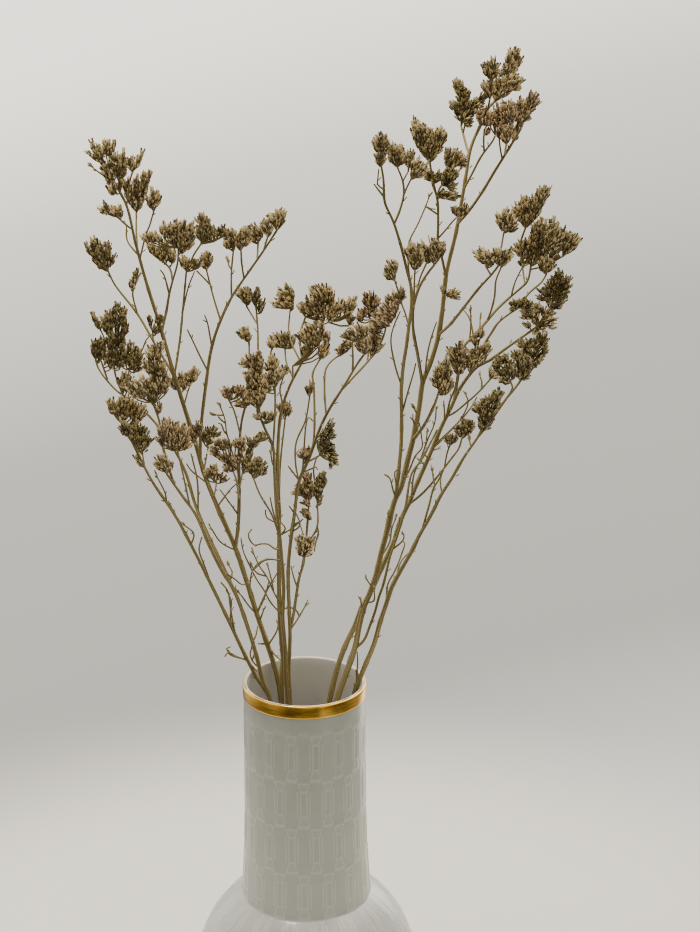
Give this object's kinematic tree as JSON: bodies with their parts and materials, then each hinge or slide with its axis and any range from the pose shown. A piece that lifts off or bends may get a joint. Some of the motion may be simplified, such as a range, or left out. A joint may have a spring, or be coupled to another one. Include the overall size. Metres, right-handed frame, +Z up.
{
  "type": "dried statice in a vase",
  "caption": "A tall bunch of dried statice stems with small comb-like flower heads, standing in a pale porcelain bottle-necked vase with a gilded rim and low hourglass relief.",
  "frame": {"origin": "centre of the vase's foot, on the surface that it stands on", "axes": "+X to the right of a viewer who faces the front, +Y away from that viewer, +Z up along the vase's axis"},
  "size_m": [0.266, 0.1281, 0.5673],
  "materials": {
    "porcelain": "glossy off-white porcelain with a worn gold band at the rim",
    "dried_golden": "dry golden-tan stems and calyces, matte",
    "dried_brown": "dry darker brown stem and calyces, matte"
  },
  "bodies": {
    "root": {"vase": "porcelain", "spray_outer_left": "dried_golden", "spray_inner_left": "dried_golden", "spray_tall_left": "dried_golden", "spray_front_centre": "dried_golden", "spray_centre": "dried_golden", "spray_brown": "dried_brown", "spray_tall_right": "dried_golden", "spray_mid_right": "dried_golden", "spray_outer_right": "dried_golden"}
  },
  "joints": []
}
